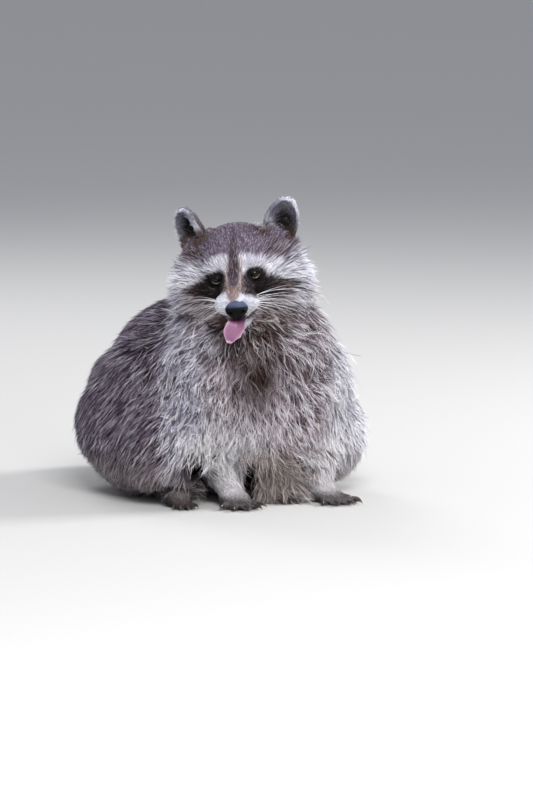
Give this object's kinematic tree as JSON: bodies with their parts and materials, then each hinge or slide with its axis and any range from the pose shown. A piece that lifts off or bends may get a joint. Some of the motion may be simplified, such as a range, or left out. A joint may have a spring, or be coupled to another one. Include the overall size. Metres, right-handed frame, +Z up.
{
  "type": "raccoon",
  "caption": "Still life-size raccoon, sitting on its haunches on straight forelegs, head turned to its right, mouth open with the tongue out, ringed tail curled on the floor.",
  "frame": {"origin": "on the floor, below the middle of the whole animal's box", "axes": "+Z up, -Y the way the body faces, +X the animal's left side"},
  "size_m": [0.3566, 0.432, 0.3466],
  "materials": {
    "coat": "long grizzled fur, dark at the roots with pale tips",
    "eye": "wet dark brown eye",
    "nose": "moist bare nose skin",
    "tongue": "wet pink tongue",
    "claw": "dark horn"
  },
  "bodies": {
    "root": {"chest": "coat", "claw_fore_left_1": "claw", "claw_fore_left_2": "claw", "claw_fore_left_3": "claw", "claw_fore_left_4": "claw", "claw_fore_left_5": "claw", "claw_fore_right_1": "claw", "claw_fore_right_2": "claw", "claw_fore_right_3": "claw", "claw_fore_right_4": "claw", "claw_fore_right_5": "claw", "claw_hind_left_1": "claw", "claw_hind_left_2": "claw", "claw_hind_left_3": "claw", "claw_hind_left_4": "claw", "claw_hind_left_5": "claw", "claw_hind_right_1": "claw", "claw_hind_right_2": "claw", "claw_hind_right_3": "claw", "claw_hind_right_4": "claw", "claw_hind_right_5": "claw", "ear_left": "coat", "ear_right": "coat", "eye_left": "eye", "eye_right": "eye", "foreleg_left": "coat", "foreleg_right": "coat", "forepaw_left": "coat", "forepaw_right": "coat", "head": "coat", "hind_foot_left": "coat", "hind_foot_right": "coat", "hind_leg_left": "coat", "hind_leg_right": "coat", "jaw": "coat", "neck": "coat", "nose": "nose", "rump": "coat", "tail_middle": "coat", "tail_root": "coat", "tail_tip": "coat", "tongue": "tongue"}
  },
  "joints": []
}
